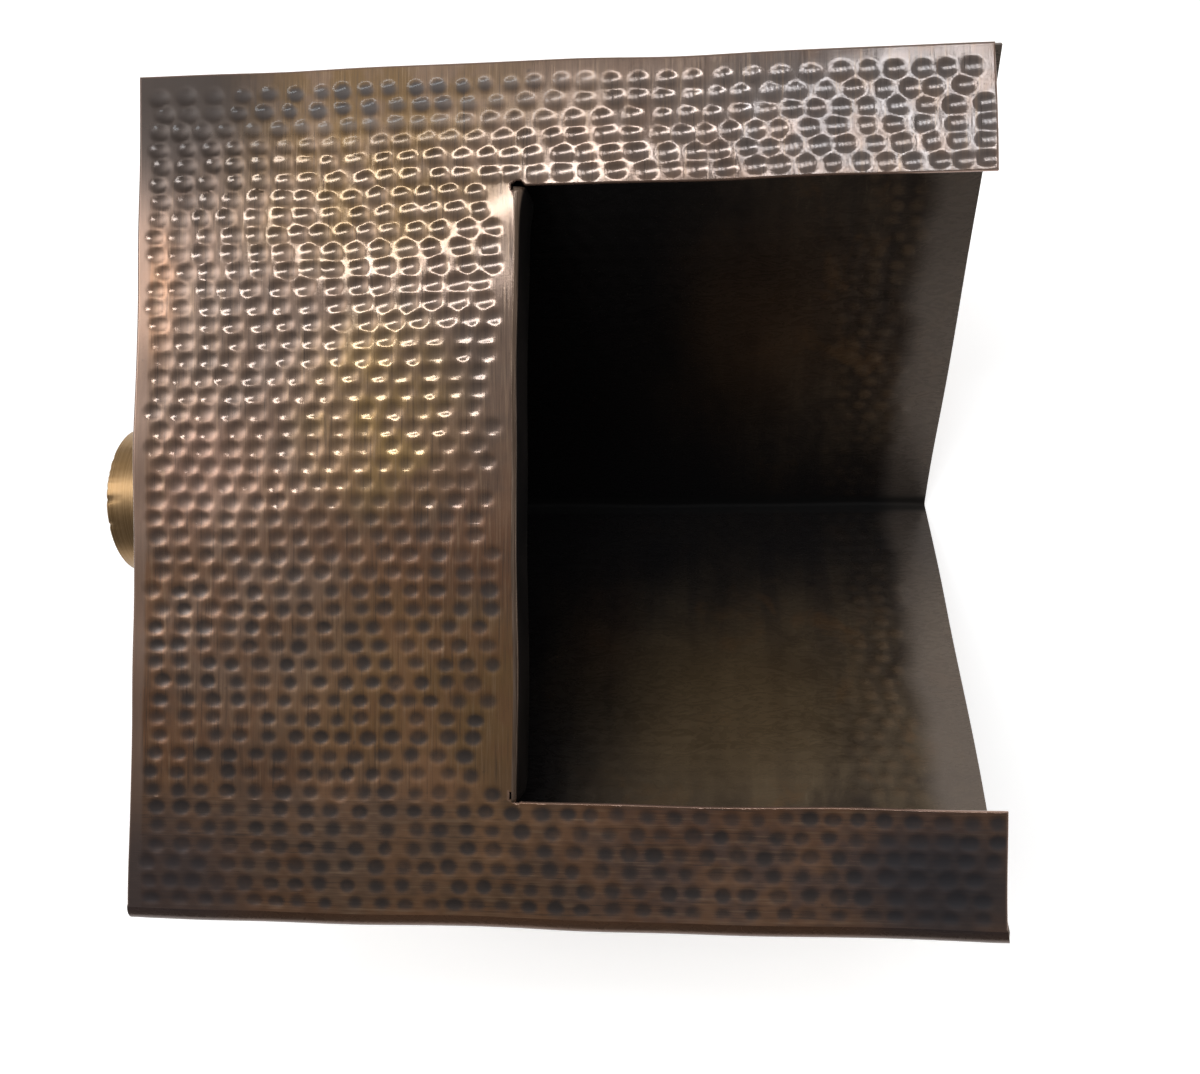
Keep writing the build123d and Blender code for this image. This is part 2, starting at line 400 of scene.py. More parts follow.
def trough_section():
    """Outer line of the fold, the V and its valley: places, outward normals and lengths along the line."""
    slope = math.atan2(TROUGH_DEPTH, HALF_WIDTH)
    apex = TROUGH_DEPTH + VALLEY_OUTER * (1 / math.cos(slope) - 1)
    cx, cz = HALF_WIDTH - FOLD_OUTER, apex - FOLD_OUTER
    fold_slope = math.atan2(cz, cx) - math.asin(FOLD_OUTER / math.hypot(cx, cz))
    seam_slope = math.atan2(apex, HALF_WIDTH + SHEET / math.tan(slope))
    end_turn = math.pi * 1.5 - fold_slope
    points, normals = [], []
    for angle in np.linspace(math.pi / 2, end_turn, BEND_STEPS + 1):
        normals.append((math.cos(angle), math.sin(angle)))
        points.append((FOLD_X + FOLD_OUTER * normals[-1][0], -FOLD_OUTER + FOLD_OUTER * normals[-1][1]))
    down = np.array([-math.cos(fold_slope), math.sin(fold_slope)])
    up = np.array([math.cos(seam_slope), math.sin(seam_slope)])
    half_angle = math.acos(float(down @ up)) / 2
    tangent = VALLEY_OUTER / math.tan(half_angle)
    middle = (down + up) / np.linalg.norm(down + up)
    centre = np.array([0, -apex]) + middle * VALLEY_OUTER / math.sin(half_angle)
    fold_end = np.array(points[-1])
    valley_start = np.array([0, -apex]) + down * tangent
    fold_count = round(np.linalg.norm(valley_start - fold_end) / TROUGH_STEP)
    for s in np.linspace(0, 1, fold_count + 1)[1:]:
        points.append(tuple(fold_end + (valley_start - fold_end) * s))
        normals.append((-math.sin(fold_slope), -math.cos(fold_slope)))
    start_angle = end_turn
    end_angle = math.pi * 1.5 + seam_slope
    for angle in np.linspace(start_angle, end_angle, VALLEY_STEPS + 1)[1:]:
        normals.append((math.cos(angle), math.sin(angle)))
        points.append(tuple(centre + VALLEY_OUTER * np.array(normals[-1])))
    valley_end = np.array(points[-1])
    seam = np.array([HALF_WIDTH, -SHEET])
    seam_count = round(np.linalg.norm(seam - valley_end) / TROUGH_STEP)
    for s in np.linspace(0, 1, seam_count + 1)[1:]:
        points.append(tuple(valley_end + (seam - valley_end) * s))
        normals.append((math.sin(seam_slope), -math.cos(seam_slope)))
    points, normals = np.array(points), np.array(normals)
    lengths = np.concatenate([[0], np.cumsum(np.linalg.norm(np.diff(points, axis=0), axis=1))])
    valley_at = lengths[BEND_STEPS + fold_count + VALLEY_STEPS // 2]
    return points, normals, lengths, lengths[BEND_STEPS], valley_at


def trough_dents(lengths, fold_at, valley_at):
    """Centres of the blows on the outside of the trough, along its section and along the trough."""
    blows = random.Random(TROUGH_SEED)
    places = []
    for start, end in ((fold_at, valley_at), (valley_at, lengths[-1])):
        u = start + SIDE_MARGIN + DENT_RADIUS
        while u < end - SIDE_MARGIN - DENT_RADIUS:
            front = FRONT_Y + TROUGH_FRONT_MARGIN + 3 * MM * math.sin(u / (16 * MM))
            y = -BACK_MARGIN - DENT_RADIUS - blows.uniform(0, DENT_PITCH / 2)
            while y > front + DENT_RADIUS:
                places.append((u + blows.uniform(-ROW_STRAY, ROW_STRAY), y))
                y -= DENT_PITCH + blows.uniform(-DENT_STRAY, DENT_STRAY)
            u += ROW_PITCH
    return places


def folded_trough():
    """Fold, V sides and valley as one sheet, hammered outside and faintly bumped inside."""
    section, normals, lengths, fold_at, valley_at = trough_section()
    along = np.linspace(FRONT_Y, BACK_Y, round((BACK_Y - FRONT_Y) / TROUGH_STEP) + 1)
    grid_u, grid_y, depth = strike(lengths, along, trough_dents(lengths, fold_at, valley_at), TROUGH_SEED)
    x = np.interp(grid_u, lengths, section[:, 0])
    z = np.interp(grid_u, lengths, section[:, 1]) + TOP_Z
    nx, nz = normals[:, 0][:, None], normals[:, 1][:, None]
    in_fold = np.clip(1 - lengths / fold_at, 0, 1)[:, None]
    grid_y = grid_y + TROUGH_LEAD * in_fold * (BACK_Y - grid_y) / (BACK_Y - FRONT_Y)
    outer = np.stack([x - nx * DISH_DEPTH * depth, grid_y, z - nz * DISH_DEPTH * depth], -1)
    shown = depth * np.interp(along, (FRONT_Y + 35 * MM, FRONT_Y + 60 * MM), (1.0, INNER_BUMP_FADE))
    bump = shown * INNER_BUMP * DISH_DEPTH
    inner = np.stack([x - nx * (SHEET + bump), grid_y, z - nz * (SHEET + bump)], -1)
    piece = closed_sheet("folded_trough", wobble(outer), wobble(inner), depth, shown)
    sharpen(piece, 60)
    mesh = piece.data
    outer_count = outer.shape[0] * outer.shape[1]
    inside = np.zeros(len(mesh.vertices), np.float32)
    inside[outer_count:] = 1.0
    # Painted sheen on the outside of the fold: a lighter copper over the bend stands in for its reflection of
    # the white floor.
    fold_sheen = np.zeros(len(mesh.vertices), np.float32)
    fade = np.clip(1 - (lengths - fold_at) / (4 * MM), 0, 1) * np.clip(2.2 * lengths / fold_at, 0, 1)
    fold_sheen[:outer_count] = np.repeat(fade, outer.shape[1])
    for mark, values in (("inside", inside), ("fold_sheen", fold_sheen)):
        mesh.attributes.new(mark, "FLOAT", "POINT").data.foreach_set("value", values)
    return piece


def coupling():
    """Turned brass coupling with its chamfers, pipe thread and nicked rim."""
    low_y, mouth_y = coupling_low.y, coupling_high.y
    turns = np.linspace(0, 2 * math.pi, COUPLING_TURNS, endpoint=False)
    outer = [(low_y, COUPLING_RADIUS - COUPLING_RIM), (low_y + COUPLING_RIM, COUPLING_RADIUS)]
    outer += [(y, COUPLING_RADIUS) for y in np.linspace(low_y + COUPLING_RIM, mouth_y - COUPLING_RIM, 10)[1:]]
    outer += [(mouth_y, COUPLING_RADIUS - COUPLING_RIM), (mouth_y, COUPLING_RADIUS - 2.5 * COUPLING_RIM)]
    root = THREAD_CREST + THREAD_DEPTH
    outer += [(mouth_y, root + MOUTH_CHAMFER), (mouth_y - MOUTH_CHAMFER, root)]
    rows = [np.stack([r * np.cos(turns), np.full_like(turns, y), r * np.sin(turns)], -1) for y, r in outer]
    steps = int((mouth_y - MOUTH_CHAMFER - low_y) / THREAD_PITCH * THREAD_STEPS)
    for y in np.linspace(mouth_y - MOUTH_CHAMFER, low_y, steps + 2)[1:-1]:
        phase = (y / THREAD_PITCH + turns / (2 * math.pi)) % 1.0
        ridge = np.clip(1.25 * np.abs(2 * phase - 1) - 0.12, 0, 1)
        fade = min(1.0, (y - low_y) / (2 * MM))
        depth = THREAD_DEPTH * fade - (mouth_y - y) * THREAD_TAPER
        r = THREAD_CREST + np.maximum(0, depth) * (1 - ridge)
        rows.append(np.stack([r * np.cos(turns), np.full_like(turns, y), r * np.sin(turns)], -1))
    end = [THREAD_CREST * np.cos(turns), np.full_like(turns, low_y), THREAD_CREST * np.sin(turns)]
    rows.append(np.stack(end, -1))
    points = np.stack(rows)
    nick_rim(points, turns, mouth_y)
    number = np.arange(points.shape[0] * COUPLING_TURNS).reshape(points.shape[0], COUPLING_TURNS)
    ahead = np.roll(number, -1, axis=1)
    following = np.roll(number, -1, axis=0)
    faces = np.stack([number, ahead, np.roll(ahead, -1, axis=0), following], -1).reshape(-1, 4).tolist()
    piece = new_mesh("threaded_coupling", points.reshape(-1, 3), faces)
    sharpen(piece, 38)
    return piece


def nick_rim(points, turns, mouth_y):
    """Press a run of small nicks into the outer rim at the mouth, where a wrench has bitten."""
    marks = random.Random(5)
    rim = np.abs(points[:, 0, 1] - mouth_y) < 1.5 * MM
    rim &= np.hypot(points[:, 0, 0], points[:, 0, 2]) > COUPLING_RADIUS - 2 * MM
    for _ in range(NICK_COUNT):
        place = math.radians(marks.uniform(55, 115))
        width = marks.uniform(0.010, 0.02)
        depth = marks.uniform(0.2, 0.55) * MM
        bite = 1 - depth / COUPLING_RADIUS * np.exp(-((turns - place) / width) ** 2)
        for row in np.nonzero(rim)[0]:
            points[row, :, 0] *= bite
            points[row, :, 2] *= bite


def sharpen(piece, degrees):
    """Keep edges sharper than an angle crisp."""
    mesh = piece.data
    mesh.set_sharp_from_angle(angle=math.radians(degrees))


def braze_ring():
    """Uneven fillet of filler metal where the coupling passes the back wall."""
    turns = np.linspace(0, 2 * math.pi, 120, endpoint=False)
    wave = 1 + 0.16 * np.sin(7 * turns + 0.5) + 0.1 * np.sin(17 * turns) + 0.06 * np.sin(31 * turns + 1)
    size = BRAZE_SIZE * wave
    rows = []
    for share in np.linspace(0, 1, 7):
        angle = share * math.pi / 2
        rows.append((COUPLING_RADIUS + size * (1 - math.sin(angle)), size * (1 - math.cos(angle))))
    rows.append((np.full_like(turns, COUPLING_RADIUS - 0.4 * MM), size))
    rows.append((np.full_like(turns, COUPLING_RADIUS - 0.4 * MM), np.full_like(turns, -0.3 * MM)))
    rows.append((COUPLING_RADIUS + size, np.full_like(turns, -0.3 * MM)))
    points = np.stack([np.stack([r * np.cos(turns), y + 0 * turns, r * np.sin(turns)], -1) for r, y in rows])
    number = np.arange(points.shape[0] * len(turns)).reshape(points.shape[0], len(turns))
    ahead = np.roll(number, -1, axis=1)
    faces = np.stack([number, np.roll(number, -1, axis=0), np.roll(ahead, -1, axis=0), ahead], -1)
    piece = new_mesh("inlet_braze", points.reshape(-1, 3), faces.reshape(-1, 4).tolist())
    sharpen(piece, 50)
    return piece


class Shader:
    """Short way to wire a node material."""

    def __init__(self, name):
        self.material = bpy.data.materials.new(name)
        self.material.use_nodes = True
        self.tree = self.material.node_tree
        self.bsdf = self.tree.nodes["Principled BSDF"]
        self.place = self.tree.nodes.new("ShaderNodeTexCoord").outputs["Object"]

    def node(self, kind, inputs, **settings):
        node = self.tree.nodes.new("ShaderNode" + kind)
        for key, value in settings.items():
            setattr(node, key, value)
        for key, value in inputs.items():
            self.put(node.inputs[key], value)
        return node

    def put(self, socket, value):
        if isinstance(value, bpy.types.NodeSocket):
            self.tree.links.new(value, socket)
        else:
            socket.default_value = value

    def set(self, **inputs):
        for key, value in inputs.items():
            self.put(self.bsdf.inputs[key.replace("_", " ").title().replace("Ior", "IOR")], value)

    def attribute(self, name):
        return self.node("Attribute", {}, attribute_name=name).outputs["Fac"]

    def scaled(self, x, y, z):
        return self.node("Mapping", {"Vector": self.place, "Scale": (x, y, z)}).outputs["Vector"]

    def noise(self, vector, scale, detail=4.0, rough=0.55, distort=0.0):
        inputs = {"Vector": vector, "Scale": scale, "Detail": detail, "Roughness": rough}
        inputs["Distortion"] = distort
        return self.node("TexNoise", inputs).outputs["Fac"]

    def ramp(self, value, low, high, to_low=0.0, to_high=1.0):
        inputs = {"Value": value, "From Min": low, "From Max": high, "To Min": to_low, "To Max": to_high}
        return self.node("MapRange", inputs, interpolation_type="SMOOTHSTEP").outputs["Result"]

    def math(self, how, a, b):
        return self.node("Math", {0: a, 1: b}, operation=how).outputs["Value"]

    def mix(self, share, a, b, how="MIX"):
        node = self.tree.nodes.new("ShaderNodeMix")
        node.data_type = "RGBA"
        node.blend_type = how
        self.put(node.inputs["Factor"], share)
        self.put(node.inputs[6], a)
        self.put(node.inputs[7], b)
        return node.outputs[2]

    def spot(self, centre, radius):
        """Soft patch round a place on the object, 1 at its middle."""
        offset = self.node("VectorMath", {0: self.place, 1: centre}, operation="SUBTRACT").outputs["Vector"]
        inner = self.node("VectorMath", {0: offset, 1: [1 / r for r in radius]}, operation="MULTIPLY")
        far = self.node("VectorMath", {0: inner.outputs["Vector"]}, operation="LENGTH").outputs["Value"]
        return self.ramp(far, 0.25, 1.0, 1.0, 0.0)

    def bump(self, height, distance, strength=1.0, normal=None):
        inputs = {"Height": height, "Distance": distance, "Strength": strength}
        if normal is not None:
            inputs["Normal"] = normal
        return self.node("Bump", inputs).outputs["Normal"]


def hammered_copper():
    """Antique copper: dark patina left in the dents, buffed brown metal between them, fine brushing."""
    s = Shader("hammered_copper")
    dent = s.attribute("dent")
    axes = s.node("SeparateXYZ", {"Vector": s.place}).outputs
    cloud = s.noise(s.place, 14.0, 5.0, 0.6, 0.4)
    blotch = s.noise(s.place, 75.0, 3.0, 0.55)
    mottle = s.noise(s.place, 240.0, 5.0, 0.65)
    streak = brushing(s, axes)
    flat = s.mix(s.ramp(cloud, 0.35, 0.68), colour(0.122, 0.055, 0.026), colour(0.208, 0.105, 0.052))
    flat = s.mix(s.ramp(blotch, 0.42, 0.7, 0.0, 0.45), flat, colour(0.06, 0.042, 0.032))
    greyed = s.math("MULTIPLY", s.ramp(axes["X"], -0.04, 0.05, 0.0, 0.75), s.ramp(cloud, 0.3, 0.6, 0.7, 1.0))
    flat = s.mix(greyed, flat, colour(0.127, 0.092, 0.074))
    for centre, radius, tint, share in COPPER_TINTS:
        patch = s.math("MULTIPLY", s.spot(centre, radius), s.ramp(blotch, 0.35, 0.6, 0.4 * share, share))
        flat = s.mix(patch, flat, tint)
    flat = s.mix(s.ramp(streak, 0.5, 0.70, 0.0, 0.5), flat, colour(0.24, 0.16, 0.10))
    flat = s.mix(s.ramp(streak, 0.5, 0.3, 0.0, 0.6), flat, colour(0.045, 0.032, 0.024))
    ground = s.ramp(s.math("ADD", axes["Y"], s.math("MULTIPLY", blotch, 0.002)), -0.0045, -0.003)
    flat = s.mix(s.math("MULTIPLY", ground, 0.7), flat, colour(0.19, 0.125, 0.095))
    in_dent = s.ramp(dent, 0.0, 0.85)
    sooty = s.math("MULTIPLY", s.ramp(axes["X"], 0.03, -0.06, 0.35, 0.9), s.ramp(blotch, 0.3, 0.6, 0.65, 1.0))
    dull = s.spot(*DULL_PATCH)
    sooty = s.math("MAXIMUM", sooty, s.math("MULTIPLY", dull, 0.9))
    base = s.mix(s.math("MULTIPLY", in_dent, sooty), flat, colour(0.034, 0.029, 0.029))
    for centre, radius, tint, share in DARK_CORNERS:
        base = s.mix(s.math("MULTIPLY", s.spot(centre, radius), share), base, tint)
    base = s.mix(s.ramp(mottle, 0.64, 0.78, 0.0, 0.5), base, colour(0.03, 0.026, 0.024))
    # Painted shade: the plate's edge walls and underside, below the top face, go near black.
    base = s.mix(s.ramp(axes["Z"], TOP_Z - 0.0012, TOP_Z - 0.0045), base, colour(0.012, 0.010, 0.010))
    # Cut edges in a light copper colour: partly bare metal, partly a painted highlight along the edge.
    base = s.mix(s.math("MULTIPLY", s.attribute("bare"), 0.75), base, colour(0.42, 0.27, 0.21))
    rough_flat = s.ramp(streak, 0.35, 0.7, 0.09, 0.17)
    rough = s.node("Mix", {0: in_dent, 2: rough_flat, 3: 0.12}, data_type="FLOAT").outputs[0]
    rough = s.node("Mix", {0: dull, 2: rough, 3: 0.40}, data_type="FLOAT").outputs[0]
    s.set(base_color=base, metallic=0.65, roughness=rough, coat_weight=0.18, coat_roughness=0.09)
    fine = s.bump(streak, 0.00004, 0.5)
    s.set(normal=s.bump(mottle, 0.00006, 0.3, fine))
    return s.material


def brushing(s, axes):
    """Fine and coarse brush marks, across the trough on the field and along it on the fold's band."""
    across = s.math("ADD", s.math("MULTIPLY", s.noise(s.scaled(70.0, 2800.0, 60.0), 1.0, 2.0), 0.55),
                    s.math("MULTIPLY", s.noise(s.scaled(40.0, 900.0, 60.0), 1.0, 3.0), 0.45))
    along = s.math("ADD", s.math("MULTIPLY", s.noise(s.scaled(2800.0, 70.0, 60.0), 1.0, 2.0), 0.55),
                   s.math("MULTIPLY", s.noise(s.scaled(900.0, 40.0, 60.0), 1.0, 3.0), 0.45))
    on_fold_band = s.ramp(axes["X"], -0.100, -0.112)
    return s.node("Mix", {0: on_fold_band, 2: across, 3: along}, data_type="FLOAT").outputs[0]


def trough_copper():
    """Same sheet on the trough: hammered outside, scuffed inside, with painted shade deep inside and along
    the valley, painted light toward the spout and a painted sheen on the outside of the fold.
    """
    s = Shader("trough_copper")
    dent = s.attribute("dent")
    inside = s.attribute("inside")
    cloud = s.noise(s.place, 11.0, 5.0, 0.6, 0.6)
    smear = s.noise(s.scaled(18.0, 30.0, 18.0), 1.0, 4.0, 0.55, 0.3)
    scratch = s.noise(s.scaled(160.0, 1100.0, 160.0), 1.0, 3.0, 0.6, 0.8)
    swirl = s.noise(s.scaled(260.0, 90.0, 260.0), 1.0, 4.0, 0.6, 2.5)
    axes = s.node("SeparateXYZ", {"Vector": s.place}).outputs
    fold_side = s.ramp(axes["X"], 0.004, -0.012)
    reach = s.math("ADD", axes["Y"], s.math("MULTIPLY", smear, 0.07))
    reach = s.math("SUBTRACT", reach, s.math("MULTIPLY", fold_side, 0.05))
    # Painted shade deep inside: the inside darkens toward the back wall, away from the open front.
    back = s.ramp(reach, FRONT_Y + 0.065, FRONT_Y + 0.165)
    outer = s.mix(s.ramp(cloud, 0.3, 0.7), colour(0.15, 0.070, 0.034), colour(0.25, 0.128, 0.064))
    outer = s.mix(s.ramp(dent, 0.0, 0.85, 0.0, 0.8), outer, colour(0.050, 0.031, 0.023))
    # The inside colour: real scuffs and patina, with painted shade and painted light mixed in below.
    inside_wear_and_shade = s.mix(s.ramp(cloud, 0.3, 0.7), colour(0.05, 0.034, 0.024), colour(0.085, 0.062, 0.042))
    # Painted light: the fold side of the inside is lighter, as the side the light falls on.
    inside_wear_and_shade = s.mix(s.math("MULTIPLY", fold_side, 0.6), inside_wear_and_shade, colour(0.115, 0.085, 0.052))
    inside_wear_and_shade = s.mix(s.ramp(swirl, 0.55, 0.8, 0.0, 0.3), inside_wear_and_shade, colour(0.17, 0.13, 0.085))
    inside_wear_and_shade = s.mix(s.ramp(scratch, 0.55, 0.75, 0.0, 0.6), inside_wear_and_shade, colour(0.16, 0.12, 0.08))
    inside_wear_and_shade = s.mix(s.ramp(smear, 0.48, 0.68, 0.0, 0.45), inside_wear_and_shade, colour(0.032, 0.022, 0.016))
    bands = s.noise(s.scaled(7.0, 120.0, 7.0), 1.0, 3.0, 0.5)
    inside_wear_and_shade = s.mix(s.ramp(bands, 0.42, 0.66, 0.0, 0.5), inside_wear_and_shade, colour(0.03, 0.023, 0.02))
    patchy = s.noise(s.place, 48.0, 5.0, 0.62, 0.6)
    inside_wear_and_shade = s.mix(s.ramp(patchy, 0.50, 0.68, 0.0, 0.6), inside_wear_and_shade, colour(0.026, 0.019, 0.016))
    inside_wear_and_shade = s.mix(s.ramp(patchy, 0.46, 0.30, 0.0, 0.55), inside_wear_and_shade, colour(0.135, 0.076, 0.036))
    on_bump = s.math("MULTIPLY", s.ramp(dent, 0.10, 0.9), s.ramp(smear, 0.40, 0.62, 0.12, 0.5))
    inside_wear_and_shade = s.mix(on_bump, inside_wear_and_shade, colour(0.15, 0.098, 0.058))
    for centre, radius, tint, share in TROUGH_TINTS:
        inside_wear_and_shade = s.mix(s.math("MULTIPLY", s.spot(centre, radius), share), inside_wear_and_shade, tint)
    # Painted shade: near black toward the back.
    inside_wear_and_shade = s.mix(back, inside_wear_and_shade, colour(0.010, 0.0085, 0.0085))
    # Painted shade in the crease: the inside darkens toward the valley line.
    middle = s.math("ABSOLUTE", s.math("ADD", axes["X"], s.math("MULTIPLY", smear, 0.02)), 0.0)
    inside_wear_and_shade = s.mix(s.ramp(middle, 0.058, 0.008, 0.0, 0.9), inside_wear_and_shade, colour(0.013, 0.012, 0.013))
    # Painted light at the spout: the inside is paler toward the open front, where light comes in.
    wavy = s.math("ADD", axes["Y"], s.math("MULTIPLY", s.noise(s.scaled(30.0, 0.0, 30.0), 1.0, 2.0), 0.016))
    edge = s.ramp(wavy, FRONT_Y + 0.032, FRONT_Y + 0.020)
    painted_spout_light = s.math("MULTIPLY", edge, s.ramp(middle, 0.0, 0.06, 0.3, 0.75))
    inside_wear_and_shade = s.mix(painted_spout_light, inside_wear_and_shade, colour(0.21, 0.172, 0.145))
    at_fold = s.ramp(axes["Z"], TOP_Z - 0.010, TOP_Z - 0.004)
    fold = s.mix(s.ramp(cloud, 0.3, 0.7), colour(0.06, 0.031, 0.019), colour(0.10, 0.050, 0.028))
    outer = s.mix(at_fold, outer, fold)
    for centre, radius, tint, share in DARK_CORNERS:
        outer = s.mix(s.math("MULTIPLY", s.spot(centre, radius), share), outer, tint)
    # Painted sheen: the outside of the fold is lightened where it would mirror the white floor.
    outer = s.mix(s.math("MULTIPLY", s.attribute("fold_sheen"), 0.35), outer, colour(0.21, 0.14, 0.10))
    # The valley mask roughens the crease and also paints it near black as painted shade.
    valley = s.ramp(s.math("ABSOLUTE", axes["X"], 0.0), 0.005, 0.002)
    rough = s.ramp(swirl, 0.3, 0.8, 0.22, 0.4)
    rough = s.node("Mix", {0: valley, 2: rough, 3: 0.8}, data_type="FLOAT").outputs[0]
    inside_wear_and_shade = s.mix(s.math("MULTIPLY", valley, 0.8), inside_wear_and_shade, colour(0.004, 0.004, 0.004))
    s.set(base_color=s.mix(inside, outer, inside_wear_and_shade), metallic=0.6, roughness=rough, specular_ior_level=0.3)
    s.set(normal=s.bump(swirl, 0.00005, 0.4))
    return s.material


def lip_copper():
    """Lip: brushed like the top over its bend, dull on its face, which is painted near black as shade."""
    s = Shader("lip_copper")
    cloud = s.noise(s.place, 40.0, 5.0, 0.6, 0.4)
    axes = s.node("SeparateXYZ", {"Vector": s.place}).outputs
    brush = brushing(s, axes)
    bright = s.mix(s.ramp(brush, 0.35, 0.65), colour(0.085, 0.058, 0.042), colour(0.17, 0.12, 0.09))
    # Painted shade: the lip's face below the bend, in the shadow of the top, is painted near black.
    dark = s.mix(s.ramp(cloud, 0.3, 0.7), colour(0.006, 0.005, 0.005), colour(0.016, 0.013, 0.012))
    face = s.ramp(axes["Z"], TOP_Z - 0.0006, TOP_Z - 0.0016)
    s.set(base_color=s.mix(face, bright, dark), metallic=0.6, specular_ior_level=0.1)
    s.set(roughness=s.node("Mix", {0: face, 2: 0.16, 3: 0.6}, data_type="FLOAT").outputs[0])
    s.set(normal=s.bump(brush, 0.00003, 0.5))
    return s.material


def wall_copper():
    """Smooth patinated copper of the back wall."""
    s = Shader("wall_copper")
    cloud = s.noise(s.place, 16.0, 5.0, 0.6, 0.5)
    brush = s.noise(s.scaled(12.0, 40.0, 900.0), 1.0, 3.0, 0.6)
    base = s.mix(s.ramp(cloud, 0.3, 0.7), colour(0.075, 0.05, 0.034), colour(0.16, 0.10, 0.068))
    base = s.mix(s.ramp(brush, 0.5, 0.75, 0.0, 0.35), base, colour(0.24, 0.165, 0.115))
    heat = s.spot((0.0, 0.0, 0.0), (0.06, 0.06, 0.06))
    base = s.mix(s.math("MULTIPLY", heat, 0.5), base, colour(0.20, 0.095, 0.065))
    s.set(base_color=base, metallic=0.7, roughness=s.ramp(brush, 0.3, 0.75, 0.32, 0.48))
    s.set(normal=s.bump(brush, 0.00006, 0.6))
    return s.material


def turned_brass():
    """Satin brass with the fine rings of turning."""
    s = Shader("turned_brass")
    ring = s.noise(s.scaled(6.0, 2600.0, 6.0), 1.0, 3.0, 0.6)
    cloud = s.noise(s.place, 60.0, 5.0, 0.6)
    base = s.mix(s.ramp(ring, 0.3, 0.75), colour(0.25, 0.155, 0.072), colour(0.39, 0.26, 0.14))
    base = s.mix(s.ramp(cloud, 0.45, 0.75, 0.0, 0.5), base, colour(0.27, 0.16, 0.065))
    s.set(base_color=base, metallic=1.0, roughness=s.ramp(ring, 0.3, 0.7, 0.28, 0.42))
    s.set(normal=s.bump(ring, 0.00008, 0.7))
    return s.material


def braze_metal():
    """Dull filler metal, darkened by the flame."""
    s = Shader("braze_metal")
    cloud = s.noise(s.place, 160.0, 5.0, 0.6)
    base = s.mix(s.ramp(cloud, 0.35, 0.7), colour(0.20, 0.15, 0.10), colour(0.46, 0.36, 0.22))
    s.set(base_color=base, metallic=0.9, roughness=s.ramp(cloud, 0.3, 0.7, 0.35, 0.55))
    s.set(normal=s.bump(cloud, 0.0004, 0.6))
    return s.material


def use(piece, material, *replaced, slot):
    """Give a piece its finish, let it ride on the one body and stand for its node."""
    piece.data.materials.clear()
    piece.data.materials.append(material)
    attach(piece, "root")
    if replaced:
        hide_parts(*replaced)


def studio():
    """White floor, a dim even room and a bank of strip lamps that the top mirrors."""
    ground = bpy.data.meshes.new("floor")
    z = body_low.z - FLOOR_GAP
    corners = [(FLOOR_REACH * x, FLOOR_REACH * y, z) for x, y in ((-1, -1), (1, -1), (1, 1), (-1, 1))]
    ground.from_pydata(corners, [], [(0, 1, 2, 3)])
    floor = bpy.data.objects.new("floor", ground)
    bpy.context.scene.collection.objects.link(floor)
    paper = Shader("white_paper")
    tree = paper.tree
    grain = paper.noise(paper.place, 3.0, 2.0)
    paper.set(base_color=paper.mix(grain, colour(0.9, 0.9, 0.9), colour(0.92, 0.92, 0.92)), roughness=0.9)
    ray = tree.nodes.new("ShaderNodeLightPath")
    seen = paper.math("MAXIMUM", ray.outputs["Is Camera Ray"], ray.outputs["Is Glossy Ray"])
    seen = paper.math("MAXIMUM", seen, ray.outputs["Is Transmission Ray"])
    paper.bsdf.inputs["Emission Color"].default_value = colour(1, 1, 1)
    tree.links.new(paper.math("MULTIPLY", seen, FLOOR_LIFT), paper.bsdf.inputs["Emission Strength"])
    ground.materials.append(paper.material)

    room()
    start, end = Vector(TUBE_START), Vector(TUBE_END)
    run = (end - start).normalized()
    target = Vector((0, -0.15, TOP_Z))
    lamp("tube", (start + end) / 2, target, (end - start).length, TUBE_WIDTH, LAMP_GLOW, run)
    for k in range(BAR_COUNT):
        lamp("bar_%d" % k, end + run * BAR_PITCH * (k + 1), target, BAR_WIDTH, BAR_LENGTH, LAMP_GLOW, run)


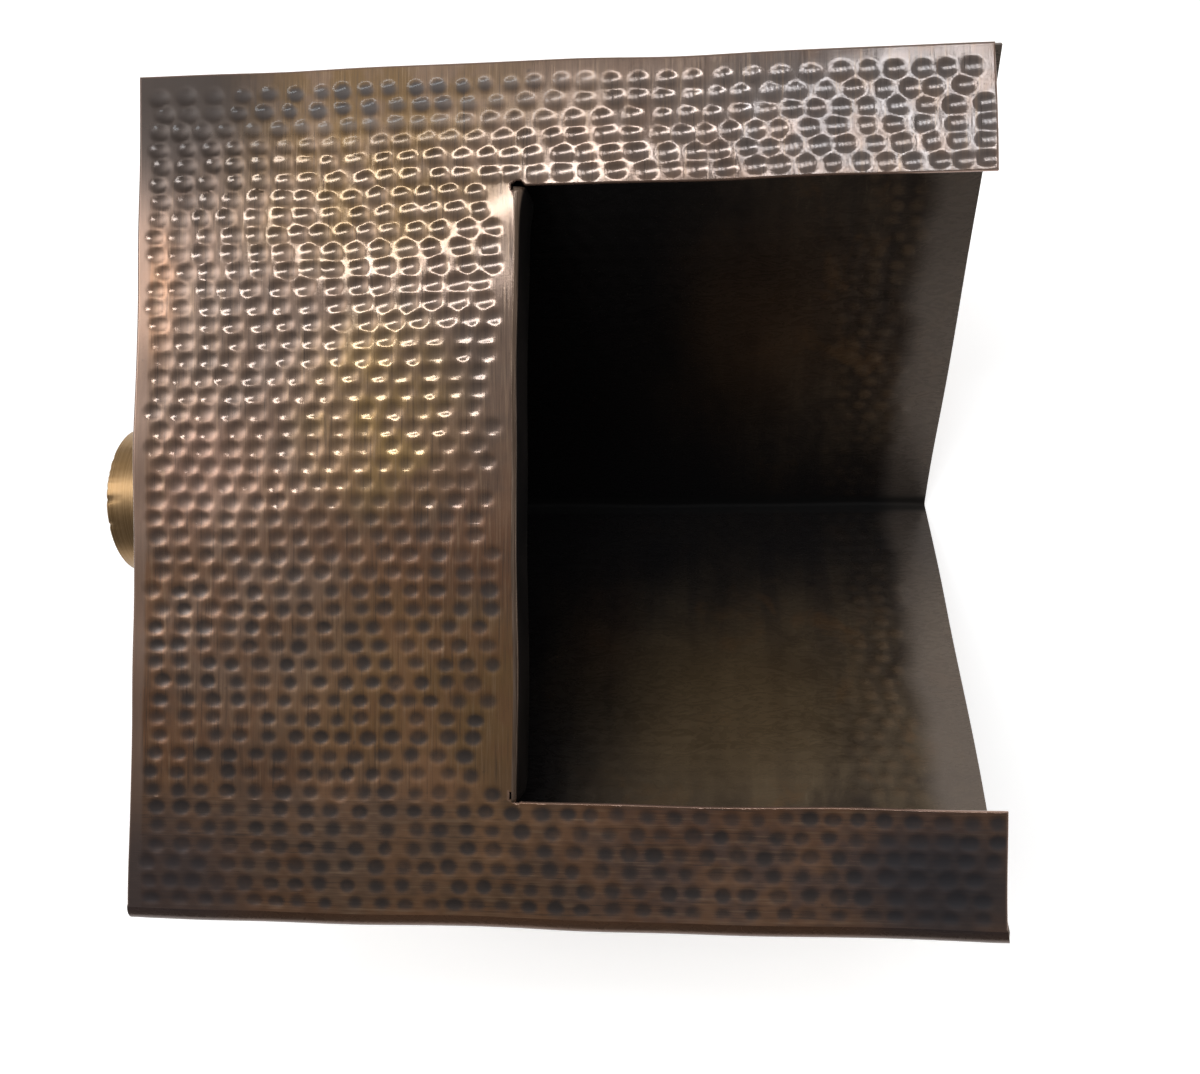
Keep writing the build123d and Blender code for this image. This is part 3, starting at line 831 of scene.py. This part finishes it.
def room():
    """Dim room, brighter overhead on the seam side, whose ceiling glows softly round the lamps."""
    world = bpy.data.worlds.new("room")
    world.use_nodes = True
    tree = world.node_tree
    background = tree.nodes["Background"]

    def calc(how, a, b):
        node = tree.nodes.new("ShaderNodeMath")
        node.operation = how
        for socket, value in zip(node.inputs, (a, b)):
            if isinstance(value, bpy.types.NodeSocket):
                tree.links.new(value, socket)
            else:
                socket.default_value = value
        return node.outputs["Value"]

    axes = tree.nodes.new("ShaderNodeSeparateXYZ")
    tree.links.new(tree.nodes.new("ShaderNodeTexCoord").outputs["Generated"], axes.inputs["Vector"])
    height = calc("MAXIMUM", axes.outputs["Z"], 0.02)
    rise = tree.nodes.new("ShaderNodeMapRange")
    rise.interpolation_type = "SMOOTHSTEP"
    tree.links.new(calc("DIVIDE", axes.outputs["X"], height), rise.inputs["Value"])
    rise.inputs["From Min"].default_value = -0.7
    rise.inputs["From Max"].default_value = 0.5
    overhead = calc("MULTIPLY", rise.outputs["Result"], calc("GREATER_THAN", axes.outputs["Z"], 0.15))
    level = calc("ADD", calc("MULTIPLY", overhead, ROOM_RISE), ROOM_LIGHT)
    for aim, spread, strength in CEILING:
        total = 0.0
        for axis, middle, reach in zip("XY", aim, spread):
            off = calc("DIVIDE", calc("SUBTRACT", calc("DIVIDE", axes.outputs[axis], height), middle), reach)
            total = calc("ADD", calc("MULTIPLY", off, off), total)
        glow = calc("MULTIPLY", calc("POWER", math.e, calc("MULTIPLY", total, -1.0)), strength)
        level = calc("ADD", glow, level)
    seen = tree.nodes.new("ShaderNodeLightPath").outputs["Is Camera Ray"]
    level = calc("MAXIMUM", level, seen)
    tint = tree.nodes.new("ShaderNodeMix")
    tint.data_type = "RGBA"
    tint.inputs[6].default_value = colour(1.0, 0.98, 0.96)
    tint.inputs[7].default_value = colour(1.0, 1.0, 1.0)
    tree.links.new(seen, tint.inputs["Factor"])
    tree.links.new(tint.outputs[2], background.inputs["Color"])
    tree.links.new(level, background.inputs["Strength"])
    bpy.context.scene.world = world


def lamp(name, at, target, width, length, glow, along):
    """Area lamp that faces a target, with its width along a direction."""
    light = bpy.data.lights.new(name, "AREA")
    light.shape = "RECTANGLE"
    light.size = width
    light.size_y = length
    light.color = LAMP_COLOUR
    light.energy = glow * math.pi * width * length
    away = (at - target).normalized()
    side = (along - along.dot(away) * away).normalized()
    up = away.cross(side)
    piece = bpy.data.objects.new(name, light)
    piece.matrix_world = Matrix.Translation(at) @ Matrix((side, up, away)).transposed().to_4x4()
    bpy.context.scene.collection.objects.link(piece)


def camera():
    """Camera above the top, at the photograph's angle."""
    view = bpy.data.cameras.new("camera")
    view.sensor_width = 36.0
    view.sensor_fit = "HORIZONTAL"
    view.lens = CAMERA_LENS
    view.shift_x, view.shift_y = CAMERA_SHIFT
    view.clip_start = 0.01
    right = Vector(CAMERA_RIGHT).normalized()
    up = -Vector(CAMERA_DOWN)
    up = (up - up.dot(right) * right).normalized()
    back = right.cross(up)
    piece = bpy.data.objects.new("camera", view)
    piece.matrix_world = Matrix.Translation(CAMERA_AT) @ Matrix((right, up, back)).transposed().to_4x4()
    bpy.context.scene.collection.objects.link(piece)
    bpy.context.scene.camera = piece


bpy.context.scene.view_settings.view_transform = "Standard"
use(hammered_top(), hammered_copper(), "sheet_body", slot="copper_sheet")
use(folded_trough(), trough_copper(), "sheet_body", slot="copper_sheet")
use(lip_strip(), lip_copper(), "sheet_body", slot="copper_sheet")
use(coupling(), turned_brass(), "inlet_coupling", slot="brass_fitting")
use(braze_ring(), braze_metal(), slot="brass_fitting")
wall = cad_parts["back_wall"]
wall.data.materials.clear()
wall.data.materials.append(wall_copper())
studio()
camera()
